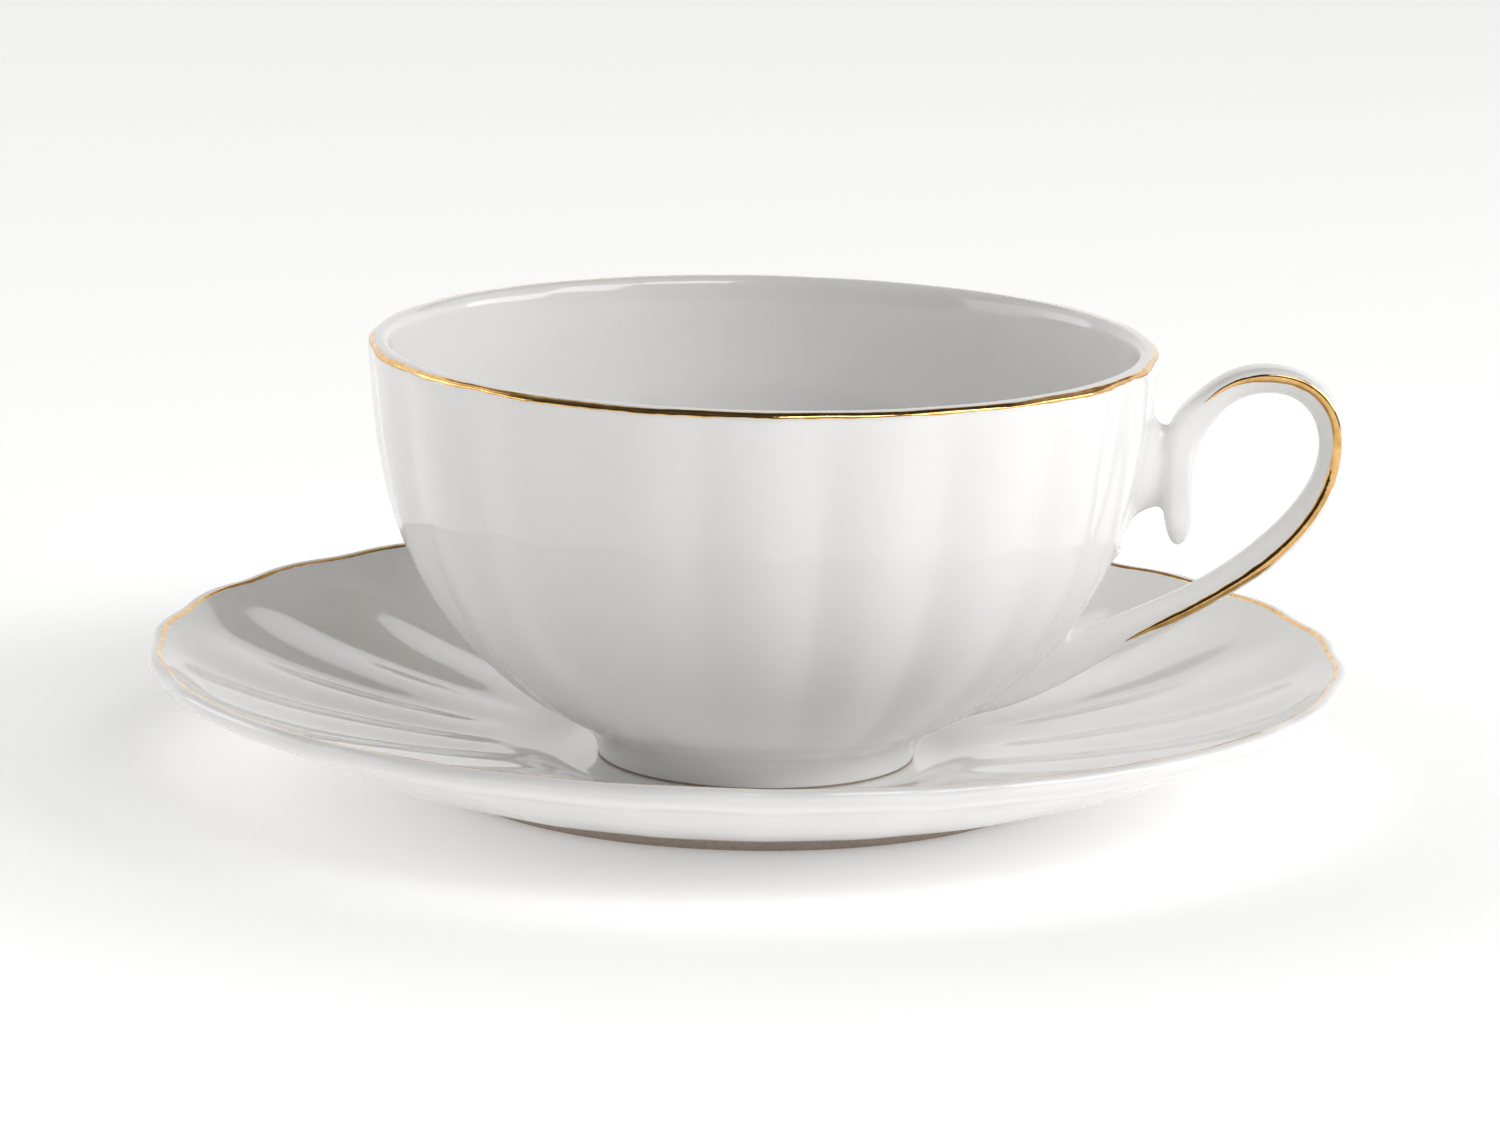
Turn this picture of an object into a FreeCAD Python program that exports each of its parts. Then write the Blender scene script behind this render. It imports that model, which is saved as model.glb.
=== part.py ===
# Porcelain teacup and saucer with gilded edges. Millimetres, +Z up.
# The origin is the bottom centre of the saucer's foot ring, and +X points to the cup's handle.
# The cup stands loosely in the saucer's well, a little off centre, and lifts straight off it.
import FreeCAD, Part
import math
import os

os.makedirs("parts", exist_ok=True)

# Driving dimensions
SAUCER_RADIUS = 77.0
SAUCER_FOOT_RADIUS = 40.0
SAUCER_FOOT_WIDTH = 3.0
SAUCER_UNDERSIDE_Z = 0.9
RECESS_TAPER = 1.5
SAUCER_RIM_Z = 17.1
WELL_FLOOR_Z = 3.0
WELL_RADIUS = 24.0
SAUCER_PETALS = 24
SAUCER_TURN = 2.5
SAUCER_GROOVE_DEPTH = 0.6
SAUCER_CREST_SHARE = 0.8

CUP_SHIFT = 1.3
CUP_HEIGHT = 54.1
CUP_RADIUS = 50.4
CUP_PETALS = 20
CUP_TURN = 9.0
CUP_GROOVE_DEPTH = 0.7
CUP_FOOT_RADIUS = 20.3
CUP_FOOT_WIDTH = 2.5
CUP_FOOT_RECESS = 1.8
CUP_WALL = 2.9
CUP_FLOOR = 5.2

HANDLE_WIDTH = 5.6
RIDGE_SHIFT = 0.22
LUG_DEPTH = 4.4

GILDING = 0.08
CUP_GILDING_DROP = 1.0
CUP_GILDING_INNER_RADIUS = 49.65
SAUCER_GILDING_RADIUS = 75.45
SAUCER_GILDING_WIDTH = 0.7
SAUCER_LIP_REACH = 0.6
HANDLE_LINE_WIDTH = 1.3

# How sharply a groove is pinched between two petals: 0 is a crease, 1 is an even wave
GROOVE_SOFTNESS = 0.45
POINTS_PER_PETAL = 4

CUP_BASE_Z = WELL_FLOOR_Z
CUP_RIM_Z = CUP_BASE_Z + CUP_HEIGHT
UP = FreeCAD.Vector(0, 0, 1)
CENTRE = FreeCAD.Vector(0, 0, 0)


def export(shape, name):
    shape.exportStep("parts/" + name + ".step")


def groove_share(angle, petals, turn):
    """0 on the crest of a petal and 1 at the bottom of the groove beside it."""
    s = math.sin(0.5 * petals * math.radians(angle - turn))
    top = math.sqrt(1 + GROOVE_SOFTNESS**2)
    return (top - math.sqrt(s * s + GROOVE_SOFTNESS**2)) / (top - GROOVE_SOFTNESS)


def petal_ring(radius, height, petals, turn, inward, down):
    """Points round a closed ring that dips inward and down at each groove."""
    count = petals * POINTS_PER_PETAL
    points = []
    for i in range(count):
        angle = turn + 360.0 * i / count
        dip = groove_share(angle, petals, turn)
        r = radius - inward * dip
        a = math.radians(angle)
        points.append(FreeCAD.Vector(r * math.cos(a), r * math.sin(a), height - down * dip))
    return points


def closed_curve(points):
    """A smooth closed curve with evenly spaced knots, so that the curves of one skin match."""
    curve = Part.BSplineCurve()
    curve.interpolate(Points=points, PeriodicFlag=True, Parameters=[float(i) for i in range(len(points) + 1)])
    return curve


def skin_solid(rings):
    """A solid whose side passes smoothly through closed rings of points, with flat ends."""
    stations = [0.0]
    for before, after in zip(rings, rings[1:]):
        step = sum((q - p).Length for p, q in zip(before, after)) / len(before)
        stations.append(stations[-1] + step)
    around = [closed_curve(ring) for ring in rings]
    along = []
    for poles in zip(*[curve.getPoles() for curve in around]):
        curve = Part.BSplineCurve()
        curve.interpolate(Points=list(poles), Parameters=stations)
        along.append(curve)
    side = Part.BSplineSurface()
    side.buildFromPolesMultsKnots(
        [curve.getPoles() for curve in along],
        around[0].getMultiplicities(),
        along[0].getMultiplicities(),
        around[0].getKnots(),
        along[0].getKnots(),
        True,
        False,
        around[0].Degree,
        along[0].Degree,
    )
    ends = [Part.Face(Part.Wire([closed_curve(ring).toShape()])) for ring in (rings[0], rings[-1])]
    shell = Part.Compound([side.toShape()] + ends)
    shell.sewShape()
    solid = Part.Solid(shell.Shells[0])
    if solid.Volume < 0:
        solid.reverse()
    return solid


def smooth_curve(points):
    curve = Part.BSplineCurve()
    curve.interpolate(Points=[FreeCAD.Vector(x, 0, z) for x, z in points])
    return curve.toShape()


def line(start, end):
    return Part.makeLine(FreeCAD.Vector(start[0], 0, start[1]), FreeCAD.Vector(end[0], 0, end[1]))


def turned(edges):
    """The solid that a closed outline in the XZ plane makes when it turns about Z."""
    face = Part.Face(Part.Wire(edges))
    return face.revolve(CENTRE, UP, 360)


def disc(radius, low, high):
    return Part.makeCylinder(radius, high - low, FreeCAD.Vector(0, 0, low))


# ---- Saucer ----

# Radius, height and share of the full groove depth, from the foot ring out under the brim,
# over the lip and back in to the well. The well's floor stays round and flat.
SAUCER_OUTLINE = [
    (SAUCER_FOOT_RADIUS - 0.7, 0.0, 0.0),
    (SAUCER_FOOT_RADIUS, 0.7, 0.0),
    (SAUCER_FOOT_RADIUS + 0.6, 1.7, 0.0),
    (SAUCER_FOOT_RADIUS + 3.0, 2.4, 0.0),
    (SAUCER_FOOT_RADIUS + 8.0, 3.4, 0.1),
    (54.0, 5.3, 0.25),
    (61.0, 7.9, 0.4),
    (68.0, 11.0, 0.5),
    (73.0, 13.2, 0.6),
    (SAUCER_RADIUS - 1.3, SAUCER_RIM_Z - 2.7, 0.7),
    (SAUCER_RADIUS - 0.25, SAUCER_RIM_Z - 1.8, 0.8),
    (SAUCER_RADIUS, SAUCER_RIM_Z - 0.9, 0.9),
    (SAUCER_RADIUS - 0.35, SAUCER_RIM_Z - 0.2, 0.9),
    (SAUCER_RADIUS - 1.0, SAUCER_RIM_Z, SAUCER_CREST_SHARE),
    (SAUCER_RADIUS - 1.9, SAUCER_RIM_Z - 0.35, 0.7),
    (72.0, 14.95, 0.8),
    (66.0, 12.3, 1.0),
    (58.0, 9.7, 1.0),
    (50.0, 7.8, 0.9),
    (42.0, 6.2, 0.6),
    (35.0, 5.0, 0.25),
    (29.0, 3.95, 0.0),
    (25.5, 3.2, 0.0),
    (WELL_RADIUS, WELL_FLOOR_Z, 0.0),
]


def saucer_ring(radius, height, share):
    """One ring of the saucer. Its grooves go down on the brim and mostly inward at the lip."""
    depth = SAUCER_GROOVE_DEPTH * share
    steep = min(1.0, max(0.0, (radius - 70.0) / 6.0))
    inward = depth * (0.3 + 0.5 * steep)
    down = depth * (0.9 - 0.5 * steep)
    return petal_ring(radius, height, SAUCER_PETALS, SAUCER_TURN, inward, down)


def make_saucer():
    brim = skin_solid([saucer_ring(*station) for station in SAUCER_OUTLINE])
    recess_radius = SAUCER_FOOT_RADIUS - SAUCER_FOOT_WIDTH
    recess = Part.makeCone(
        recess_radius + 0.2, recess_radius - RECESS_TAPER, SAUCER_UNDERSIDE_Z + 1, FreeCAD.Vector(0, 0, -1)
    )
    return brim.cut(recess).Solids[0]


def make_saucer_gilding(saucer):
    """A thin line of gold just inside the crest of the lip: the film between the saucer and a raised copy."""
    half = 0.5 * SAUCER_GILDING_WIDTH
    reach = SAUCER_LIP_REACH
    walls = []
    for out, up in [(-half, -reach), (-half, reach), (half, reach), (half, -reach)]:
        ring = saucer_ring(SAUCER_GILDING_RADIUS + out, SAUCER_RIM_Z + up, SAUCER_CREST_SHARE)
        walls.append(Part.Wire([closed_curve(ring).toShape()]))
    faces = []
    for first, second in zip(walls, walls[1:] + walls[:1]):
        faces += Part.makeLoft([first, second], False, True).Faces
    skin = Part.Compound(faces)
    skin.sewShape()
    channel = Part.Solid(skin.Shells[0])
    raised = saucer.translated(FreeCAD.Vector(0, 0, GILDING))
    return raised.common(channel).cut(saucer)


# ---- Cup bowl ----

# Radius, height and share of the full groove depth of the outside, from the foot up to the lip
CUP_OUTSIDE = [
    (CUP_FOOT_RADIUS, CUP_BASE_Z, 0.0),
    (20.5, 3.9, 0.0),
    (20.9, 5.2, 0.0),
    (22.9, 7.3, 0.1),
    (27.6, 10.0, 0.4),
    (33.1, 14.0, 0.8),
    (38.35, 19.0, 1.0),
    (43.3, 25.6, 1.0),
    (46.6, 32.6, 1.0),
    (48.65, 40.4, 1.0),
    (49.8, 48.2, 0.9),
    (50.25, 53.2, 0.7),
]
CUP_LIP = [
    (CUP_RADIUS, CUP_RIM_Z - 1.2, 0.5),
    (CUP_RADIUS - 0.15, CUP_RIM_Z - 0.5, 0.4),
    (CUP_RADIUS - 0.6, CUP_RIM_Z - 0.1, 0.3),
    (CUP_RADIUS - 1.2, CUP_RIM_Z, 0.25),
]
CUP_INSIDE = [
    (CUP_RADIUS - 1.9, CUP_RIM_Z),
    (CUP_RADIUS - 2.5, CUP_RIM_Z - 0.4),
    (CUP_RADIUS - CUP_WALL, CUP_RIM_Z - 1.6),
    (47.0, 50.0),
    (45.7, 40.4),
    (43.4, 32.6),
    (39.6, 25.6),
    (34.2, 19.6),
    (26.3, 14.0),
    (16.0, 9.9),
    (0.0, CUP_BASE_Z + CUP_FLOOR),
]


def cup_loft():
    """The outside of the bowl with its foot, as a closed body."""
    rings = []
    for r, z, share in CUP_OUTSIDE + CUP_LIP:
        rings.append(petal_ring(r, z, CUP_PETALS, CUP_TURN, CUP_GROOVE_DEPTH * share, 0))
    return skin_solid(rings)


def make_cup_bowl():
    above = CUP_RIM_Z + 5
    bottom = CUP_INSIDE[-1]
    mouth = CUP_INSIDE[0]
    cavity = turned(
        [
            smooth_curve(CUP_INSIDE),
            line(bottom, (0, above)),
            line((0, above), (mouth[0], above)),
            line((mouth[0], above), mouth),
        ]
    )
    recess_radius = CUP_FOOT_RADIUS - CUP_FOOT_WIDTH
    below = FreeCAD.Vector(0, 0, CUP_BASE_Z - 1)
    recess = Part.makeCone(recess_radius, recess_radius - 0.5 * RECESS_TAPER, CUP_FOOT_RECESS + 1, below)
    return cup_loft().cut(cavity).cut(recess)


def make_cup_gilding(outside):
    """A painted band of gold on the outer shoulder of the lip, with a thin white edge left above it.

    The film is the bowl's own surface grown by the film's thickness, outward and up alike.
    """
    low = CUP_RIM_Z - CUP_GILDING_DROP
    above = CUP_RIM_Z + 5
    shoulder = disc(CUP_RADIUS + 5, low, above).cut(disc(CUP_GILDING_INNER_RADIUS, low - 5, above))
    grown = outside.copy()
    grown.scale(1 + GILDING / CUP_RADIUS, FreeCAD.Vector(0, 0, CUP_RIM_Z - CUP_RADIUS))
    return grown.common(shoulder).cut(outside)


# ---- Handle ----

# Cup pieces are modelled about the cup's own axis and moved to where the cup stands at the end.
# The middle line in the XZ plane with the band's thickness there and its width as a share of
# HANDLE_WIDTH: from the tip of the hanging drop, up and over the loop, down to the bowl's side
HANDLE_STATIONS = [
    (53.6, 31.65, 0.7, 0.2),
    (53.6, 31.85, 1.35, 0.34),
    (53.6, 32.2, 1.95, 0.46),
    (53.6, 32.8, 2.55, 0.57),
    (53.6, 33.7, 3.15, 0.67),
    (53.5, 35.2, 3.55, 0.75),
    (53.45, 39.0, 3.6, 0.82),
    (53.6, 43.0, 3.8, 0.88),
    (54.5, 46.8, 4.5, 0.9),
    (56.9, 49.9, 4.0, 0.92),
    (60.3, 52.4, 3.7, 0.96),
    (64.5, 53.3, 3.6, 1.0),
    (68.7, 52.4, 3.5, 1.0),
    (71.8, 49.5, 3.6, 1.0),
    (72.9, 45.2, 3.4, 1.0),
    (72.0, 40.3, 3.4, 1.0),
    (69.5, 35.8, 3.7, 1.0),
    (65.3, 31.2, 3.9, 1.0),
    (59.7, 27.0, 3.6, 1.0),
    (52.9, 23.1, 3.7, 1.0),
    (46.7, 20.1, 4.1, 1.02),
    (41.1, 17.1, 4.8, 1.08),
    (35.3, 14.2, 5.4, 1.15),
    (30.1, 12.1, 5.0, 1.15),
    (24.2, 10.6, 2.8, 1.0),
]
SECTION_POINTS = 12


def station_frame(stations, index):
    """The place and the outward normal of the middle line at one station."""
    before = stations[max(index - 1, 0)]
    after = stations[min(index + 1, len(stations) - 1)]
    along = FreeCAD.Vector(after[0] - before[0], 0, after[1] - before[1])
    along.normalize()
    place = FreeCAD.Vector(stations[index][0], 0, stations[index][1])
    outward = FreeCAD.Vector(-along.z, 0, along.x)
    return place, outward


def band_section(place, outward, thickness, width, ridge):
    """A rounded lens across the band, widest on a ridge that lies towards the outer face."""
    points = []
    for i in range(SECTION_POINTS):
        a = 2 * math.pi * i / SECTION_POINTS
        across = 0.5 * width * math.copysign(abs(math.sin(a)) ** 1.15, math.sin(a))
        out = 0.5 * thickness * math.cos(a) + ridge * thickness * math.sin(a) ** 2
        points.append(place + outward * out + FreeCAD.Vector(0, across, 0))
    return points


def make_band():
    rings = []
    for i, (x, z, thickness, share) in enumerate(HANDLE_STATIONS):
        place, outward = station_frame(HANDLE_STATIONS, i)
        rings.append(band_section(place, outward, thickness, HANDLE_WIDTH * share, RIDGE_SHIFT))
    return skin_solid(rings)


# Distance from the cup's axis, lower edge, upper edge and share of LUG_DEPTH
LUG_PROFILES = [
    (45.0, 34.2, 49.5, 1.5),
    (48.4, 35.2, 48.8, 1.25),
    (49.8, 36.1, 47.6, 1.0),
    (51.1, 36.4, 47.0, 0.9),
    (53.3, 36.5, 46.4, 0.85),
]


def make_lug():
    """The short web that joins the hanging drop to the bowl, flared where it meets the wall."""
    rings = []
    for x, low, high, share in LUG_PROFILES:
        middle = 0.5 * (low + high)
        points = []
        for i in range(SECTION_POINTS):
            a = 2 * math.pi * i / SECTION_POINTS
            y = 0.5 * LUG_DEPTH * share * math.cos(a)
            z = middle + 0.5 * (high - low) * math.sin(a)
            points.append(FreeCAD.Vector(x, y, z))
        rings.append(points)
    return skin_solid(rings)


def make_handle(bowl_outside):
    return make_band().fuse(make_lug()).cut(bowl_outside)


# The gold line runs from above the drop to just short of the bowl, between these two stations
HANDLE_LINE_FIRST = 9
HANDLE_LINE_LAST = 20
HANDLE_LINE_REACH = 0.5


def make_handle_line(handle, side):
    """A tapered line of gold on the ridge of the band, on one side of the handle."""
    rings = []
    count = HANDLE_LINE_LAST - HANDLE_LINE_FIRST
    for i in range(HANDLE_LINE_FIRST, HANDLE_LINE_LAST + 1):
        x, z, thickness, share = HANDLE_STATIONS[i]
        place, outward = station_frame(HANDLE_STATIONS, i)
        taper = math.sqrt(math.sin(math.pi * (i - HANDLE_LINE_FIRST + 0.5) / (count + 1)))
        half = 0.5 * HANDLE_LINE_WIDTH * taper
        surface = 0.5 * HANDLE_WIDTH * share
        middle = place + outward * (RIDGE_SHIFT * thickness)
        corners = [(-half, HANDLE_LINE_REACH), (half, HANDLE_LINE_REACH), (half, -GILDING), (-half, -GILDING)]
        points = []
        for along_out, depth in corners:
            points.append(middle + outward * along_out + FreeCAD.Vector(0, side * (surface - depth), 0))
        rings.append(Part.makePolygon(points + points[:1]))
    return Part.makeLoft(rings, True, False).cut(handle)


saucer = make_saucer()
bowl_outside = cup_loft()
handle = make_handle(bowl_outside)
saucer_pieces = {
    "saucer": saucer,
    "saucer_rim_gilding": make_saucer_gilding(saucer),
}
cup_pieces = {
    "cup_bowl": make_cup_bowl(),
    "cup_rim_gilding": make_cup_gilding(bowl_outside),
    "cup_handle": handle,
    "handle_gilding_front": make_handle_line(handle, -1),
    "handle_gilding_back": make_handle_line(handle, 1),
}
for name, shape in saucer_pieces.items():
    export(shape, name)
for name, shape in cup_pieces.items():
    export(shape.translated(FreeCAD.Vector(CUP_SHIFT, 0, 0)), name)
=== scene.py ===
"""A fluted porcelain teacup with gilded edges, on its saucer. Metres, +Z up, +X towards the handle."""
import math

import bpy
import numpy as np
from mathutils import Matrix, Vector


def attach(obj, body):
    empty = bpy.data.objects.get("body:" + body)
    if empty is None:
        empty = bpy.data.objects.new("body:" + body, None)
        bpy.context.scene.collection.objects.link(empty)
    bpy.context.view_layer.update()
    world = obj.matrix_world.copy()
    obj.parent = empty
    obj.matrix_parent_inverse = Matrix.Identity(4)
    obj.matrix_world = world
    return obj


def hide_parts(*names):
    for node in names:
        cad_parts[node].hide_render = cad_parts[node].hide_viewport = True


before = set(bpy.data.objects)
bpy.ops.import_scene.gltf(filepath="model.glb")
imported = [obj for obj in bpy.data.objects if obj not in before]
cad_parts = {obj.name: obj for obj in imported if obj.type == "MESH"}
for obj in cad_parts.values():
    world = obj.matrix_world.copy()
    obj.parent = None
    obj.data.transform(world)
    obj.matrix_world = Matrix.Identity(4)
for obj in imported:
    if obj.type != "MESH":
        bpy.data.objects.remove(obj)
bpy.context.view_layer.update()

MM = 0.001

# ---------------------------------------------------------------- camera

CAMERA_DISTANCE = 0.850
CAMERA_ELEVATION = math.radians(12.06)
CAMERA_ROLL = math.radians(1.152)
CAMERA_TARGET = Vector((0.00011, 0.0, 0.0280))
CAMERA_LENS = 158.87


def make_camera():
    data = bpy.data.cameras.new("Camera")
    data.lens = CAMERA_LENS
    data.sensor_width = 36.0
    camera = bpy.data.objects.new("Camera", data)
    bpy.context.scene.collection.objects.link(camera)
    back = Vector((0.0, -math.cos(CAMERA_ELEVATION), math.sin(CAMERA_ELEVATION)))
    camera.location = CAMERA_TARGET + back * CAMERA_DISTANCE
    level = (-back).to_track_quat("-Z", "Y").to_matrix()
    camera.rotation_euler = (level @ Matrix.Rotation(CAMERA_ROLL, 3, "Z")).to_euler()
    bpy.context.scene.camera = camera


# ---------------------------------------------------------------- curves and meshes


def natural_spline(stations, rows, at):
    """The natural cubic curve through rows of numbers at rising stations, read at the places in at."""
    x = np.asarray(stations, float)
    y = np.asarray(rows, float)
    n = len(x)
    h = np.diff(x)
    system = np.eye(n)
    target = np.zeros_like(y)
    for i in range(1, n - 1):
        system[i, i - 1 : i + 2] = h[i - 1], 2 * (h[i - 1] + h[i]), h[i]
        target[i] = 6 * ((y[i + 1] - y[i]) / h[i] - (y[i] - y[i - 1]) / h[i - 1])
    bend = np.linalg.solve(system, target)
    i = np.clip(np.searchsorted(x, at, side="right") - 1, 0, n - 2)
    step = h[i][:, None]
    a = (x[i + 1] - at)[:, None] / step
    b = 1 - a
    cubic = ((a**3 - a) * bend[i] + (b**3 - b) * bend[i + 1]) * step**2 / 6
    return a * y[i] + b * y[i + 1] + cubic


def chord_stations(points):
    steps = np.linalg.norm(np.diff(np.asarray(points, float), axis=0), axis=1)
    return np.concatenate([[0.0], np.cumsum(steps)])


def smooth_profile(rows, step, least=3):
    """Rows (radius, height, extra...) made dense: each span gets its own share of evenly spaced places."""
    rows = np.asarray(rows, float)
    stations = chord_stations(rows[:, :2])
    at = []
    for start, end in zip(stations, stations[1:]):
        count = max(least, int(math.ceil((end - start) / step)))
        at += list(np.linspace(start, end, count, endpoint=False))
    at.append(stations[-1])
    return natural_spline(stations, rows, np.array(at))


def new_object(name, vertices, faces, materials, face_material=None):
    """A smooth shaded mesh object, from millimetres to metres."""
    mesh = bpy.data.meshes.new(name)
    mesh.from_pydata((np.asarray(vertices) * MM).tolist(), [], faces)
    mesh.polygons.foreach_set("use_smooth", [True] * len(mesh.polygons))
    for material in materials:
        mesh.materials.append(material)
    if face_material is not None:
        mesh.polygons.foreach_set("material_index", face_material)
    mesh.validate()
    mesh.update()
    piece = bpy.data.objects.new(name, mesh)
    bpy.context.scene.collection.objects.link(piece)
    return piece


def ring_faces(rings, around, closed=False):
    """Quads between rings of points that each go once round."""
    faces = []
    last = rings if closed else rings - 1
    for i in range(last):
        low = i * around
        high = ((i + 1) % rings) * around
        for j in range(around):
            k = (j + 1) % around
            faces.append((low + j, low + k, high + k, high + j))
    return faces


def wobble(angle, seed, slowest, fastest):
    """Smooth, seeded unevenness round a circle, about -1 to 1."""
    draws = np.random.default_rng(seed)
    total = np.zeros_like(angle)
    power = 0.0
    for k in range(slowest, fastest + 1):
        size = draws.uniform(0.3, 1.0) / math.sqrt(k)
        total += size * np.sin(k * angle + draws.uniform(0, 2 * math.pi))
        power += 0.5 * size**2
    return 0.6 * total / math.sqrt(power)


# ---------------------------------------------------------------- dimensions in mm, as in the CAD model

SAUCER_PETALS = 24
SAUCER_TURN = math.radians(2.5)
SAUCER_GROOVE_DEPTH = 0.6
SAUCER_UNDERSIDE_Z = 0.9
WELL_FLOOR_Z = 3.0
WELL_RADII = (23.0, 21.0, 17.0, 12.0, 6.0, 0.6)
CUP_SHIFT = 1.3
CUP_RECESS_Z = 4.8
CUP_FLOOR_Z = 8.2
CUP_PETALS = 20
CUP_TURN = math.radians(9.0)
CUP_GROOVE_DEPTH = 0.7
# How sharply a groove is pinched between two petals: 0 is a crease, 1 is an even wave
GROOVE_SOFTNESS = 0.45
SEGMENTS_PER_PETAL = 20

# Radius and height of the hollow under the saucer, from the middle to the flat of the foot ring
SAUCER_RECESS = [
    (0.6, 0.9), (12.0, 0.9), (24.0, 0.9), (34.0, 0.9), (35.3, 0.8), (36.0, 0.55), (36.4, 0.2), (36.7, 0.03),
    (37.2, 0.0), (38.6, 0.0),
]
# Radius, height and share of the groove depth
SAUCER_OUTLINE = [
    (39.3, 0.0, 0.0), (40.0, 0.7, 0.0), (40.6, 1.7, 0.0), (43.0, 2.4, 0.0), (48.0, 3.4, 0.1),
    (54.0, 5.3, 0.25), (61.0, 7.9, 0.4), (68.0, 11.0, 0.5), (73.0, 13.2, 0.6), (75.7, 14.4, 0.7),
    (76.75, 15.3, 0.8), (77.0, 16.2, 0.9), (76.65, 16.9, 0.9), (76.0, 17.1, 0.8), (75.1, 16.75, 0.7),
    (72.0, 14.95, 0.8), (66.0, 12.3, 1.0), (58.0, 9.7, 1.0), (50.0, 7.8, 0.9), (42.0, 6.2, 0.6),
    (35.0, 5.0, 0.25), (29.0, 3.95, 0.0), (25.5, 3.2, 0.0), (24.0, 3.0, 0.0),
]
CUP_RECESS = [
    (0.6, 4.8), (8.0, 4.8), (15.0, 4.8), (16.5, 4.7), (17.2, 4.2), (17.6, 3.5), (17.8, 3.05), (18.1, 3.0),
    (19.7, 3.0),
]
CUP_OUTSIDE = [
    (20.3, 3.0, 0.0), (20.5, 3.9, 0.0), (20.9, 5.2, 0.0), (22.9, 7.3, 0.1), (27.6, 10.0, 0.4),
    (33.1, 14.0, 0.8), (38.35, 19.0, 1.0), (43.3, 25.6, 1.0), (46.6, 32.6, 1.0), (48.65, 40.4, 1.0),
    (49.8, 48.2, 0.9), (50.25, 53.2, 0.7), (50.4, 55.9, 0.5), (50.25, 56.6, 0.4), (49.8, 57.0, 0.3),
    (49.2, 57.1, 0.25),
]
CUP_INSIDE = [
    (48.5, 57.1, 0.1), (47.9, 56.7, 0.0), (47.5, 55.5, 0.0), (47.0, 50.0, 0.0), (45.7, 40.4, 0.0),
    (43.4, 32.6, 0.0), (39.6, 25.6, 0.0), (34.2, 19.6, 0.0), (26.3, 14.0, 0.0), (16.0, 9.9, 0.0),
    (8.0, 8.55, 0.0), (0.6, 8.2, 0.0),
]
# Widest spacing of the rows along each outline
SAUCER_ROW_STEP = 0.9
CUP_ROW_STEP = 0.8
# Rows of faces, counted from the middle of the underside, that take the second material: the unglazed foot,
# and on the saucer also the foot ring's outer side, where its dark brown is painted shade
SAUCER_BARE_AND_SHADED_ROWS = range(7, 16)
CUP_BARE_ROWS = range(6, 10)


def groove_share(angle, petals, turn):
    """0 on the crest of a petal and 1 at the bottom of the groove beside it."""
    s = np.sin(0.5 * petals * (angle - turn))
    top = math.sqrt(1 + GROOVE_SOFTNESS**2)
    return (top - np.sqrt(s * s + GROOVE_SOFTNESS**2)) / (top - GROOVE_SOFTNESS)


# ---------------------------------------------------------------- saucer

# Where the brim starts to turn up into the lip, and over what width it does
LIP_START, LIP_WIDTH = 70.0, 6.0
# Shares of a groove's depth that go inward and down on the brim, and how much swings inward at the lip
GROOVE_INWARD, GROOVE_DOWN, GROOVE_SWING = 0.3, 0.9, 0.5


def saucer_point(radius, height, share, angle):
    """Where a ring of the saucer passes. Its grooves go down on the brim and mostly inward at the lip."""
    dip = SAUCER_GROOVE_DEPTH * share * groove_share(angle, SAUCER_PETALS, SAUCER_TURN)
    steep = np.clip((radius - LIP_START) / LIP_WIDTH, 0.0, 1.0)
    r = radius - dip * (GROOVE_INWARD + GROOVE_SWING * steep)
    z = height - dip * (GROOVE_DOWN - GROOVE_SWING * steep)
    return np.stack([r * np.cos(angle), r * np.sin(angle), z], axis=-1)


def circle(count):
    return np.linspace(0, 2 * math.pi, count, endpoint=False)


def turned_piece(name, rows, point, around, axis_x, tip_heights, bare_and_shaded_rows, materials):
    """A closed piece from rows (radius, height, groove share), with a tip on the axis at either end."""
    angle = circle(around)
    rings = np.concatenate([point(r, z, s, angle) for r, z, s in rows])
    faces = ring_faces(len(rows), around)
    tip_low, tip_high = len(rings), len(rings) + 1
    tips = [[axis_x, 0, height] for height in tip_heights]
    last = (len(rows) - 1) * around
    # Faces in these rows take the second material: the unglazed foot, with painted shade up the side of the
    # saucer's foot
    bare_and_shaded = [int(i // around in bare_and_shaded_rows) for i in range(len(faces))]
    faces += [(tip_low, (j + 1) % around, j) for j in range(around)]
    faces += [(tip_high, last + j, last + (j + 1) % around) for j in range(around)]
    bare_and_shaded += [0] * (2 * around)
    return new_object(name, np.vstack([rings, tips]), faces, materials, bare_and_shaded)


def make_saucer(glaze, bisque_and_painted_shade):
    underside = [(r, z, 0.0) for r, z in SAUCER_RECESS]
    outline = smooth_profile(SAUCER_OUTLINE, SAUCER_ROW_STEP).tolist()
    well = [(r, WELL_FLOOR_Z, 0.0) for r in WELL_RADII]
    around = SAUCER_PETALS * SEGMENTS_PER_PETAL
    tip_heights = (SAUCER_UNDERSIDE_Z, WELL_FLOOR_Z)
    rows = np.array(underside + outline + well)
    return turned_piece(
        "Saucer", rows, saucer_point, around, 0, tip_heights, SAUCER_BARE_AND_SHADED_ROWS, [glaze, bisque_and_painted_shade]
    )


# ---------------------------------------------------------------- cup


def cup_point(radius, height, share, angle):
    dip = CUP_GROOVE_DEPTH * share * groove_share(angle, CUP_PETALS, CUP_TURN)
    r = radius - dip
    return np.stack([CUP_SHIFT + r * np.cos(angle), r * np.sin(angle), height + 0 * angle], axis=-1)


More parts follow.
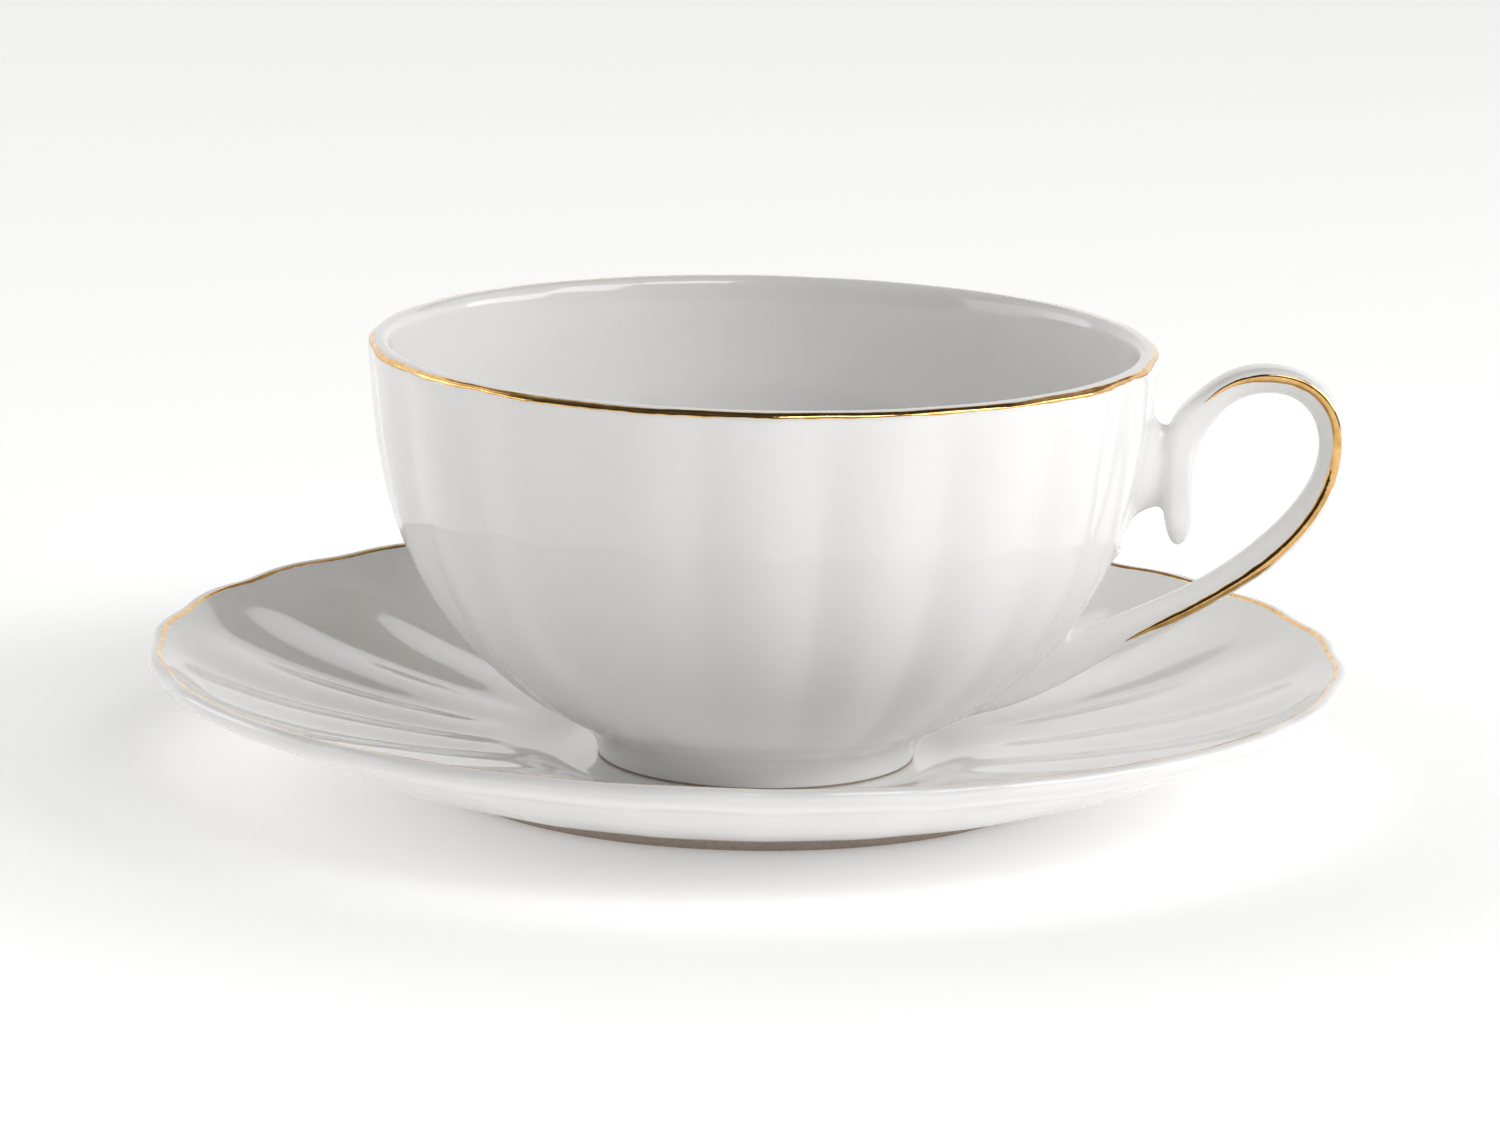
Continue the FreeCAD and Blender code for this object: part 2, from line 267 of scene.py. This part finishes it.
def make_bowl(glaze, bisque_and_painted_shade):
    underside = [(r, z, 0.0) for r, z in CUP_RECESS]
    outline = smooth_profile(CUP_OUTSIDE + CUP_INSIDE, CUP_ROW_STEP).tolist()
    around = CUP_PETALS * SEGMENTS_PER_PETAL
    tip_heights = (CUP_RECESS_Z, CUP_FLOOR_Z)
    rows = np.array(underside + outline)
    return turned_piece(
        "CupBowl", rows, cup_point, around, CUP_SHIFT, tip_heights, CUP_BARE_ROWS, [glaze, bisque_and_painted_shade]
    )


# ---------------------------------------------------------------- handle

HANDLE_WIDTH = 5.6
RIDGE_SHIFT = 0.22
TIP_BLUNTNESS = 0.4
# Middle line (x, z), thickness and width share, from the tip of the drop over the loop to the bowl
HANDLE_STATIONS = [
    (53.6, 31.65, 0.7, 0.2), (53.6, 31.85, 1.35, 0.34), (53.6, 32.2, 1.95, 0.46), (53.6, 32.8, 2.55, 0.57),
    (53.6, 33.7, 3.15, 0.67), (53.5, 35.2, 3.55, 0.75),
    (53.45, 39.0, 3.6, 0.82), (53.6, 43.0, 3.8, 0.88), (54.5, 46.8, 4.5, 0.9), (56.9, 49.9, 4.0, 0.92),
    (60.3, 52.4, 3.7, 0.96), (64.5, 53.3, 3.6, 1.0), (68.7, 52.4, 3.5, 1.0), (71.8, 49.5, 3.6, 1.0),
    (72.9, 45.2, 3.4, 1.0), (72.0, 40.3, 3.4, 1.0), (69.5, 35.8, 3.7, 1.0), (65.3, 31.2, 3.9, 1.0),
    (59.7, 27.0, 3.6, 1.0), (52.9, 23.1, 3.7, 1.0), (46.7, 20.1, 4.1, 1.02), (41.1, 17.1, 4.8, 1.08),
    (35.3, 14.2, 5.4, 1.15), (30.1, 12.1, 5.0, 1.15), (24.2, 10.6, 2.8, 1.0),
]
LUG_DEPTH = 4.4
# Distance from the cup's axis, low and high edge, and share of the lug's depth
LUG_PROFILES = [
    (45.0, 35.9, 47.6, 1.05), (48.6, 36.1, 47.3, 1.0), (49.8, 36.3, 47.1, 0.95), (51.1, 36.5, 46.9, 0.9),
    (53.3, 36.5, 46.4, 0.85), (54.7, 36.5, 46.4, 0.85),
]
LUG_END = 54.3
# How far the surfaces blend into each other where two parts join
BAND_JOIN, BOWL_JOIN = 1.2, 3.0
# How far the handle reaches under the bowl's surface, and at most how far the join spreads from the handle
BURIED = 0.7
JOIN_SPREAD = 2.5
# How far the joined surface runs under the bowl's, so that it comes out only near the handle
TUCK = 0.03
# The box that holds the handle, and the pitch of the samples in it
BOX_LOW, BOX_HIGH = (23.2, -6.5, 7.6), (77.2, 6.5, 57.6)
GRID_PITCH = 0.34
# Samples along the middle line, and how many points are compared with them at once
LINE_SAMPLES = 900
POINTS_AT_ONCE = 20000


def middle_line():
    rows = np.array(HANDLE_STATIONS)
    stations = chord_stations(rows[:, :2])
    at = np.linspace(0, stations[-1], LINE_SAMPLES)
    return at, natural_spline(stations, rows, at)


LINE_AT, LINE = middle_line()
LINE_ALONG = np.gradient(LINE[:, :2], axis=0)
LINE_ALONG /= np.linalg.norm(LINE_ALONG, axis=1)[:, None]
LINE_OUT = np.stack([-LINE_ALONG[:, 1], LINE_ALONG[:, 0]], axis=1)
OUTSIDE_DENSE = smooth_profile(CUP_OUTSIDE[:13], 0.5)


def nearest_on_line(x, z):
    """The nearest place along the middle line, in samples, with the offset outward and past its ends."""
    found = np.zeros(len(x))
    for start in range(0, len(x), POINTS_AT_ONCE):
        part = slice(start, start + POINTS_AT_ONCE)
        gap = (x[part, None] - LINE[None, :, 0]) ** 2 + (z[part, None] - LINE[None, :, 1]) ** 2
        found[part] = gap.argmin(axis=1)
    i = found.astype(int)
    delta = np.stack([x, z], axis=1) - LINE[i, :2]
    along = (delta * LINE_ALONG[i]).sum(axis=1)
    out = (delta * LINE_OUT[i]).sum(axis=1)
    spacing = LINE_AT[1]
    place = np.clip(i + along / spacing, 0, len(LINE) - 1)
    before_start = np.where(i == 0, np.maximum(-along, 0), 0)
    past_end = np.where(i == len(LINE) - 1, np.maximum(along, 0), 0)
    return place, out, before_start + past_end


def band_distance(x, y, z, cache=None):
    """Rough signed distance to the band, a rounded lens in section with its ridge near the outer face."""
    place, out, past = nearest_on_line(x, z) if cache is None else cache
    samples = np.arange(len(LINE))
    half = 0.5 * np.interp(place, samples, LINE[:, 2])
    wide = 0.5 * HANDLE_WIDTH * np.interp(place, samples, LINE[:, 3])
    ridge = 2 * RIDGE_SHIFT * half
    s = y / wide
    lean = (out - ridge * s * s) / half
    q = lean**2 + s**2 + (past / (TIP_BLUNTNESS * half)) ** 2
    slope_out = 2 * lean / half
    slope_across = (2 * s - 4 * lean * ridge * s / half) / wide
    slope_past = 2 * past / (TIP_BLUNTNESS * half) ** 2
    slope = np.sqrt(slope_out**2 + slope_across**2 + slope_past**2)
    root = np.sqrt(q)
    return np.maximum(2 * root * (root - 1) / np.maximum(slope, 0.35), -half)


def lug_distance(x, y, z):
    rows = np.array(LUG_PROFILES)
    low = np.interp(x, rows[:, 0], rows[:, 1])
    high = np.interp(x, rows[:, 0], rows[:, 2])
    depth = 0.5 * LUG_DEPTH * np.interp(x, rows[:, 0], rows[:, 3])
    half = 0.5 * (high - low)
    p = y / depth
    v = (z - 0.5 * (low + high)) / half
    root = np.sqrt(p * p + v * v)
    slope = 2 * np.sqrt((p / depth) ** 2 + (v / half) ** 2)
    d = 2 * root * (root - 1) / np.maximum(slope, 0.3)
    return np.maximum(d, x - LUG_END)


def bowl_distance(x, y, z):
    radius = np.interp(z, OUTSIDE_DENSE[:, 1], OUTSIDE_DENSE[:, 0])
    share = np.interp(z, OUTSIDE_DENSE[:, 1], OUTSIDE_DENSE[:, 2])
    rise = np.gradient(OUTSIDE_DENSE[:, 0]) / np.maximum(np.gradient(OUTSIDE_DENSE[:, 1]), 1e-6)
    slope = np.interp(z, OUTSIDE_DENSE[:, 1], rise)
    angle = np.arctan2(y, x)
    wall = radius - CUP_GROOVE_DEPTH * share * groove_share(angle, CUP_PETALS, CUP_TURN)
    return (np.hypot(x, y) - wall) / np.sqrt(1 + slope**2)


def smooth_union(a, b, reach):
    h = np.maximum(reach - np.abs(a - b), 0) / reach
    return np.minimum(a, b) - h * h * reach / 4


def handle_field(p, cache=None):
    """Signed distances to the handle flowing into the bowl, to the bowl, and to the handle on its own."""
    x, y, z = p[:, 0], p[:, 1], p[:, 2]
    own = smooth_union(band_distance(x, y, z, cache), lug_distance(x, y, z), BAND_JOIN)
    bowl = bowl_distance(x, y, z)
    flowing = smooth_union(own, bowl + TUCK, BOWL_JOIN)
    return flowing, bowl, own


def solid_field(p, cache=None):
    """The handle as a closed body that ends just under the bowl's surface."""
    flowing, bowl, own = handle_field(p, cache)
    return np.maximum(np.maximum(flowing, -bowl - BURIED), own - JOIN_SPREAD)


def field_gradient(field, p, step=0.03):
    columns = []
    for axis in range(3):
        shift = np.zeros(3)
        shift[axis] = step
        columns.append((field(p + shift) - field(p - shift)) / (2 * step))
    return np.stack(columns, axis=1)


def settle(field, p, steps=3, reach=0.4):
    """Moves points on to the surface where field is zero, each by a short way at most."""
    for _ in range(steps):
        slope = field_gradient(field, p)
        size = (slope**2).sum(axis=1)
        move = -(field(p) / np.maximum(size, 0.05))[:, None] * slope
        length = np.linalg.norm(move, axis=1)[:, None]
        p = p + move * np.minimum(1.0, reach / np.maximum(length, 1e-9))
    return p


def surface_net(values, origin, pitch):
    """Vertices and quads of the zero surface of a box of samples."""
    inside = values < 0
    nx, ny, nz = values.shape
    cells = (nx - 1, ny - 1, nz - 1)
    total = np.zeros(cells + (3,))
    count = np.zeros(cells)
    for axis in range(3):
        others = [i for i in range(3) if i != axis]
        low = [slice(None)] * 3
        high = [slice(None)] * 3
        low[axis] = slice(0, -1)
        high[axis] = slice(1, None)
        a, b = values[tuple(low)], values[tuple(high)]
        crosses = inside[tuple(low)] != inside[tuple(high)]
        share = np.where(crosses, a / np.where(crosses, a - b, 1), 0)
        for du in (0, 1):
            for dv in (0, 1):
                take = [slice(None)] * 3
                take[others[0]] = slice(du, du + cells[others[0]])
                take[others[1]] = slice(dv, dv + cells[others[1]])
                hit = crosses[tuple(take)]
                count += hit
                total[..., axis] += np.where(hit, share[tuple(take)], 0)
                total[..., others[0]] += hit * du
                total[..., others[1]] += hit * dv
    used = count > 0
    number = -np.ones(cells, int)
    number[used] = np.arange(used.sum())
    corner = np.stack(np.nonzero(used), axis=1)
    vertices = origin + pitch * (corner + total[used] / count[used][:, None])
    quads = []
    for axis in range(3):
        u, v = (axis + 1) % 3, (axis + 2) % 3
        low = [slice(1, -1)] * 3
        high = [slice(1, -1)] * 3
        low[axis] = slice(0, -1)
        high[axis] = slice(1, None)
        a, b = inside[tuple(low)], inside[tuple(high)]
        where = np.stack(np.nonzero(a != b), axis=1)
        offset = np.ones(3, int)
        offset[axis] = 0
        where = where + offset
        flip = a[a != b]
        step_u, step_v = np.zeros(3, int), np.zeros(3, int)
        step_u[u], step_v[v] = 1, 1
        ring = [where - step_u - step_v, where - step_v, where, where - step_u]
        ids = np.stack([number[tuple(c.T)] for c in ring], axis=1)
        ids[~flip] = ids[~flip][:, ::-1]
        quads.append(ids)
    return vertices, np.concatenate(quads)


def relax(field, p, quads, rounds):
    """Evens out the spacing of the vertices and puts them back on the surface."""
    edges = np.concatenate([quads[:, [0, 1]], quads[:, [1, 2]], quads[:, [2, 3]], quads[:, [3, 0]]])
    edges = np.unique(np.sort(edges, axis=1), axis=0)
    degree = np.bincount(edges.ravel(), minlength=len(p))[:, None]
    for _ in range(rounds):
        total = np.zeros_like(p)
        for k in range(3):
            total[:, k] += np.bincount(edges[:, 0], p[edges[:, 1], k], minlength=len(p))
            total[:, k] += np.bincount(edges[:, 1], p[edges[:, 0], k], minlength=len(p))
        p = settle(field, 0.4 * p + 0.6 * total / degree, steps=1)
    return p


def make_handle(glaze):
    low = np.array(BOX_LOW)
    size = np.array(BOX_HIGH) - low
    counts = np.ceil(size / GRID_PITCH).astype(int) + 1
    axes = [low[k] + GRID_PITCH * np.arange(counts[k]) for k in range(3)]
    gx, gz = np.meshgrid(axes[0], axes[2], indexing="ij")
    flat_cache = nearest_on_line(gx.ravel(), gz.ravel())
    shape = (len(axes[0]), len(axes[2]))
    values = np.zeros(tuple(counts))
    for j, y in enumerate(axes[1]):
        p = np.stack([gx.ravel(), np.full(gx.size, y), gz.ravel()], axis=1)
        values[:, j, :] = solid_field(p, flat_cache).reshape(shape)
    vertices, quads = surface_net(values, low, GRID_PITCH)
    vertices = settle(solid_field, vertices, steps=2)
    vertices = relax(solid_field, vertices, quads, 4)
    vertices = settle(solid_field, vertices, steps=2)
    return new_object("CupHandle", vertices + [CUP_SHIFT, 0, 0], quads.tolist(), [glaze])


# ---------------------------------------------------------------- gilding

# Places across a line, from edge to edge, how far it rises over the glaze and how far its edges sink into it
ACROSS = np.linspace(-1, 1, 9)
BRUSH_LIFT = 0.05
BRUSH_SINK = 0.03
# How far a rim line wanders and trembles, and the shares of its width that come and go slowly and quickly
WANDER, TREMBLE = 0.10, 0.04
SWELL, FRAY = 0.16, 0.07
RIM_STEPS = 1440
# Place of each rim line's middle along its stretch of outline, and half its width
SAUCER_LINE_AT, SAUCER_LINE_HALF = 2.04, 0.33
CUP_BAND_AT, CUP_BAND_HALF = 8.65, 0.55
# The handle's gold line runs between these two stations
HANDLE_LINE_START, HANDLE_LINE_END = 9, 20
HANDLE_LINE_HALF = 0.65
HANDLE_LINE_STEPS = 420
# Shares of its length over which it opens to full width and closes again, and how pointed its ends are
OPENING, CLOSING, POINTEDNESS = 0.16, 0.12, 0.8
# Angles round the handle's section, across the ridge, between which the line lies
RIDGE_FAN = np.radians(np.linspace(30, 150, 161))


def ribbon(name, block, closed, material):
    """A thin strip over a block of points, counted along and across."""
    along, across = block.shape[:2]
    faces = []
    last = along if closed else along - 1
    for i in range(last):
        k = (i + 1) % along
        for j in range(across - 1):
            faces.append((i * across + j, k * across + j, k * across + j + 1, i * across + j + 1))
    return new_object(name, block.reshape(-1, 3), faces, [material])


def rim_line(name, outline, point, middle_at, half_width, seed, material):
    """A brushed line on a rim. middle_at is its place along the outline, in mm."""
    rows = smooth_profile(outline, 0.1)
    at = chord_stations(rows[:, :2])
    tangent = np.gradient(rows[:, :2], axis=0)
    tangent /= np.linalg.norm(tangent, axis=1)[:, None]
    rows_out = np.stack([tangent[:, 1], -tangent[:, 0]], axis=1)
    angle = circle(RIM_STEPS)
    centre = middle_at + WANDER * wobble(angle, seed, 2, 9) + TREMBLE * wobble(angle, seed + 1, 20, 60)
    unevenness = SWELL * wobble(angle, seed + 2, 5, 40) + FRAY * wobble(angle, seed + 3, 60, 160)
    half = half_width * (1 + unevenness)
    block = np.zeros((len(angle), len(ACROSS), 3))
    for j, t in enumerate(ACROSS):
        where = centre + t * half
        lift = BRUSH_LIFT * math.sqrt(max(0.0, 1 - t**4)) - BRUSH_SINK * abs(t) ** 6
        r = np.interp(where, at, rows[:, 0]) + lift * np.interp(where, at, rows_out[:, 0])
        z = np.interp(where, at, rows[:, 1]) + lift * np.interp(where, at, rows_out[:, 1])
        share = np.interp(where, at, rows[:, 2])
        block[:, j] = point(r, z, share, angle)
    return ribbon(name, block, True, material)


def handle_line(name, side, seed, material):
    """The brushed line on the ridge of one side of the handle, with a pointed start and end."""
    stations = chord_stations(np.array(HANDLE_STATIONS)[:, :2])
    at = np.linspace(stations[HANDLE_LINE_START], stations[HANDLE_LINE_END], HANDLE_LINE_STEPS)
    place = np.interp(at, LINE_AT, np.arange(len(LINE)))
    samples = np.arange(len(LINE))

    def at_places(column):
        return np.interp(place, samples, column)

    x, z, thick, wide = (at_places(LINE[:, k]) for k in range(4))
    out_x, out_z = at_places(LINE_OUT[:, 0]), at_places(LINE_OUT[:, 1])
    share = (at - at[0]) / (at[-1] - at[0])
    opening = np.minimum(1.0, (share / OPENING) ** POINTEDNESS)
    closing = np.minimum(1.0, ((1 - share) / CLOSING) ** POINTEDNESS)
    taper = opening * closing
    turn = share * 2 * math.pi
    half = HANDLE_LINE_HALF * taper * (1 + 0.10 * wobble(turn, seed, 3, 25)) + 0.02
    drift = 0.08 * wobble(turn, seed + 1, 1, 6) + 0.3 * np.sin(math.pi * np.minimum(1.0, share / 0.7))
    s = np.sin(RIDGE_FAN)
    block = np.zeros((len(at), len(ACROSS), 3))
    for i in range(len(at)):
        out = 0.5 * thick[i] * np.cos(RIDGE_FAN) + RIDGE_SHIFT * thick[i] * s**2
        y = 0.5 * HANDLE_WIDTH * wide[i] * s
        length = chord_stations(np.stack([out, y], axis=1))
        length -= length[len(RIDGE_FAN) // 2]
        where = drift[i] + ACROSS * half[i]
        o = np.interp(where, length, out)
        block[i, :, 0] = x[i] + o * out_x[i]
        block[i, :, 1] = side * np.interp(where, length, y)
        block[i, :, 2] = z[i] + o * out_z[i]
    points = settle(lambda p: handle_field(p)[0], block.reshape(-1, 3), steps=2)
    normal = field_gradient(lambda p: handle_field(p)[0], points)
    normal /= np.linalg.norm(normal, axis=1)[:, None]
    lift = BRUSH_LIFT * np.sqrt(1 - ACROSS**4) - BRUSH_SINK * np.abs(ACROSS) ** 6
    points += normal * np.tile(lift, len(at))[:, None]
    points[:, 0] += CUP_SHIFT
    return ribbon(name, points.reshape(block.shape), False, material)


# ---------------------------------------------------------------- materials


def node(tree, kind, **inputs):
    made = tree.nodes.new(kind)
    for name, value in inputs.items():
        made.inputs[name.replace("_", " ")].default_value = value
    return made


def new_material(name):
    material = bpy.data.materials.new(name)
    material.use_nodes = True
    tree = material.node_tree
    return material, tree, tree.nodes["Principled BSDF"]


def grey(value):
    return (value, value, value, 1)


def object_noise(tree, scale, detail, roughness=0.5):
    where = tree.nodes.new("ShaderNodeTexCoord")
    noise = node(tree, "ShaderNodeTexNoise", Scale=scale, Detail=detail, Roughness=roughness)
    tree.links.new(where.outputs["Object"], noise.inputs["Vector"])
    return noise


def ramp(tree, source, stops):
    made = tree.nodes.new("ShaderNodeValToRGB")
    elements = made.color_ramp.elements
    while len(elements) < len(stops):
        elements.new(0.5)
    for element, (place, colour) in zip(elements, stops):
        element.position = place
        element.color = colour
    tree.links.new(source, made.inputs["Fac"])
    return made


def glazed_porcelain():
    """White glaze: faintly uneven tone and gloss, slow waves, and little sheen where it turns edge on."""
    material, tree, shader = new_material("glazed_porcelain")
    shader.inputs["IOR"].default_value = 1.55
    shader.inputs["Subsurface Weight"].default_value = 0.12
    shader.inputs["Subsurface Radius"].default_value = (1.0, 0.85, 0.7)
    shader.inputs["Subsurface Scale"].default_value = 0.0015
    tone = object_noise(tree, 28.0, 3.0)
    tones = [(0.3, (0.90, 0.89, 0.875, 1)), (0.7, (0.92, 0.915, 0.905, 1))]
    colour = ramp(tree, tone.outputs["Fac"], tones)
    tree.links.new(colour.outputs["Color"], shader.inputs["Base Color"])
    facing = node(tree, "ShaderNodeLayerWeight", Blend=0.5)
    sheen = ramp(tree, facing.outputs["Facing"], [(0.8, grey(0.5)), (0.97, grey(0.12))])
    tree.links.new(sheen.outputs["Color"], shader.inputs["Specular IOR Level"])
    gloss = object_noise(tree, 90.0, 2.0)
    rough = ramp(tree, gloss.outputs["Fac"], [(0.3, grey(0.045)), (0.7, grey(0.075))])
    tree.links.new(rough.outputs["Color"], shader.inputs["Roughness"])
    waves = object_noise(tree, 140.0, 1.5)
    bump = node(tree, "ShaderNodeBump", Strength=0.25, Distance=0.00012)
    tree.links.new(waves.outputs["Fac"], bump.inputs["Height"])
    tree.links.new(bump.outputs["Normal"], shader.inputs["Normal"])
    return material


def bare_and_shaded_porcelain():
    """The matt body where the foot rings are wiped clean of glaze, darkened to a warm brown that is painted
    shade on the saucer's foot.
    """
    material, tree, shader = new_material("unglazed_foot_painted_shade")
    shader.inputs["IOR"].default_value = 1.45
    shader.inputs["Specular IOR Level"].default_value = 0.2
    grain = object_noise(tree, 1800.0, 4.0, 0.6)
    # Both tones are darkened to a warm brown: painted shade along the saucer's foot
    tones = [(0.3, (0.40, 0.325, 0.27, 1)), (0.7, (0.52, 0.44, 0.38, 1))]
    colour = ramp(tree, grain.outputs["Fac"], tones)
    tree.links.new(colour.outputs["Color"], shader.inputs["Base Color"])
    shader.inputs["Roughness"].default_value = 0.8
    bump = node(tree, "ShaderNodeBump", Strength=0.4, Distance=0.0001)
    tree.links.new(grain.outputs["Fac"], bump.inputs["Height"])
    tree.links.new(bump.outputs["Normal"], shader.inputs["Normal"])
    return material


def fired_gold():
    """Bright gold with the brush's unevenness in tone and gloss."""
    material, tree, shader = new_material("fired_gold")
    shader.inputs["Metallic"].default_value = 1.0
    tone = object_noise(tree, 450.0, 4.0, 0.6)
    tones = [(0.3, (0.55, 0.30, 0.09, 1)), (0.55, (0.74, 0.45, 0.17, 1)), (0.8, (0.88, 0.60, 0.29, 1))]
    colour = ramp(tree, tone.outputs["Fac"], tones)
    tree.links.new(colour.outputs["Color"], shader.inputs["Base Color"])
    wear = object_noise(tree, 900.0, 3.0)
    rough = ramp(tree, wear.outputs["Fac"], [(0.3, grey(0.05)), (0.75, grey(0.11))])
    tree.links.new(rough.outputs["Color"], shader.inputs["Roughness"])
    strokes = object_noise(tree, 1500.0, 2.0)
    bump = node(tree, "ShaderNodeBump", Strength=0.3, Distance=0.00005)
    tree.links.new(strokes.outputs["Fac"], bump.inputs["Height"])
    tree.links.new(bump.outputs["Normal"], shader.inputs["Normal"])
    return material


# Painted glow of the floor, which gives off light though it is no lamp: its strength under the saucer and
# away from it, and the distances in metres between which it rises
GLOW_NEAR, GLOW_FAR = 0.22, 0.48
GLOW_START, GLOW_END = 0.055, 0.14


def pale_floor_painted_glow():
    material, tree, shader = new_material("pale_floor_painted_glow")
    shader.inputs["Base Color"].default_value = (0.93, 0.93, 0.93, 1)
    shader.inputs["Roughness"].default_value = 0.9
    shader.inputs["Specular IOR Level"].default_value = 0.1
    # The floor glows: painted light, dimmer under the saucer and brighter away from it
    shader.inputs["Emission Color"].default_value = (1, 1, 1, 1)
    where = tree.nodes.new("ShaderNodeTexCoord")
    distance = tree.nodes.new("ShaderNodeVectorMath")
    distance.operation = "LENGTH"
    tree.links.new(where.outputs["Object"], distance.inputs[0])
    stops = [(GLOW_START, grey(GLOW_NEAR)), (GLOW_END, grey(GLOW_FAR))]
    glow = ramp(tree, distance.outputs["Value"], stops)
    tree.links.new(glow.outputs["Color"], shader.inputs["Emission Strength"])
    return material


# ---------------------------------------------------------------- stage

LOOK_AT = Vector((0.0, 0.0, 0.03))
LIGHT_DISTANCE = 1.3


def soft_box(name, azimuth, elevation, width, height, radiance):
    """A rectangular light. Azimuth runs from the front round by the handle, and angles are in degrees."""
    data = bpy.data.lights.new(name, "AREA")
    data.shape = "RECTANGLE"
    data.size = width
    data.size_y = height
    data.energy = radiance * math.pi * width * height
    light = bpy.data.objects.new(name, data)
    bpy.context.scene.collection.objects.link(light)
    a, e = math.radians(azimuth), math.radians(elevation)
    away = Vector((math.cos(e) * math.sin(a), -math.cos(e) * math.cos(a), math.sin(e)))
    light.location = LOOK_AT + away * LIGHT_DISTANCE
    light.rotation_euler = (-away).to_track_quat("-Z", "Y").to_euler()


BACKDROP_SLANT = 0.25
WARM_SHADE = (0.30, 0.265, 0.22, 1)
# Brightness behind the cup by slanted height and before it by height, where 0 is level and 1 is overhead
BEHIND = [
    (0.0, grey(1.1)), (0.50, grey(1.1)), (0.512, WARM_SHADE), (0.65, WARM_SHADE), (0.71, grey(0.5)),
    (0.82, grey(0.4)), (0.9, grey(0.05)),
]
BEFORE = [(0.0, grey(0.05)), (0.5, grey(0.05)), (0.65, grey(0.12)), (1.0, grey(0.05))]
# The two halves of the room blend between these shares of the way to the back
SIDES = [(0.0, grey(0)), (0.25, grey(1))]


def make_room():
    """A pale backdrop behind the cup, lower towards the handle's side, under a dark ceiling."""
    world = bpy.data.worlds.new("World")
    bpy.context.scene.world = world
    world.use_nodes = True
    tree = world.node_tree
    where = tree.nodes.new("ShaderNodeTexCoord")
    parts = tree.nodes.new("ShaderNodeSeparateXYZ")
    tree.links.new(where.outputs["Generated"], parts.inputs["Vector"])
    slant = tree.nodes.new("ShaderNodeMath")
    slant.operation = "MULTIPLY_ADD"
    slant.inputs[1].default_value = BACKDROP_SLANT
    tree.links.new(parts.outputs["X"], slant.inputs[0])
    tree.links.new(parts.outputs["Z"], slant.inputs[2])
    behind = ramp(tree, slant.outputs["Value"], BEHIND)
    before = ramp(tree, parts.outputs["Z"], BEFORE)
    side = ramp(tree, parts.outputs["Y"], SIDES)
    mix = tree.nodes.new("ShaderNodeMix")
    mix.data_type = "RGBA"
    tree.links.new(side.outputs["Color"], mix.inputs["Factor"])
    tree.links.new(before.outputs["Color"], mix.inputs["A"])
    tree.links.new(behind.outputs["Color"], mix.inputs["B"])
    tree.links.new(mix.outputs["Result"], tree.nodes["Background"].inputs["Color"])


FLOOR_REACH = 3000


def make_stage():
    corners = FLOOR_REACH * np.array([[-1, -1, 0], [1, -1, 0], [1, 1, 0], [-1, 1, 0]])
    new_object("Floor", corners, [(0, 1, 2, 3)], [pale_floor_painted_glow()])
    make_room()
    soft_box("KeyRight", 91, 13, 0.8, 0.34, 3.8)
    soft_box("KeyFront", 62, 27, 0.6, 0.65, 4.2)
    soft_box("RimLeft", 264, 13, 1.4, 0.5, 1.8)
    soft_box("FillFront", 28, 42, 0.6, 0.4, 5.0)
    bpy.context.scene.view_settings.view_transform = "Standard"


make_camera()
make_stage()
glaze, bisque_and_painted_shade, gold = glazed_porcelain(), bare_and_shaded_porcelain(), fired_gold()
saucer_lip, cup_lip = SAUCER_OUTLINE[11:16], CUP_OUTSIDE[10:]
saucer = make_saucer(glaze, bisque_and_painted_shade)
saucer_line = rim_line(
    "SaucerGoldLine", saucer_lip, saucer_point, SAUCER_LINE_AT, SAUCER_LINE_HALF, 11, gold
)
bowl = make_bowl(glaze, bisque_and_painted_shade)
cup_band = rim_line("CupGoldBand", cup_lip, cup_point, CUP_BAND_AT, CUP_BAND_HALF, 21, gold)
handle = make_handle(glaze)
front_line = handle_line("HandleGoldFront", -1, 31, gold)
back_line = handle_line("HandleGoldBack", 1, 41, gold)
# Each piece with its body, the CAD node it replaces and its material slot
pieces = [
    (saucer, "saucer", "saucer", "porcelain"),
    (saucer_line, "saucer", "saucer_rim_gilding", "gilding"),
    (bowl, "cup", "cup_bowl", "porcelain"),
    (cup_band, "cup", "cup_rim_gilding", "gilding"),
    (handle, "cup", "cup_handle", "porcelain"),
    (front_line, "cup", "handle_gilding_front", "gilding"),
    (back_line, "cup", "handle_gilding_back", "gilding"),
]
for piece, body, cad_node, material_slot in pieces:
    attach(piece, body)
    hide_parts(cad_node)
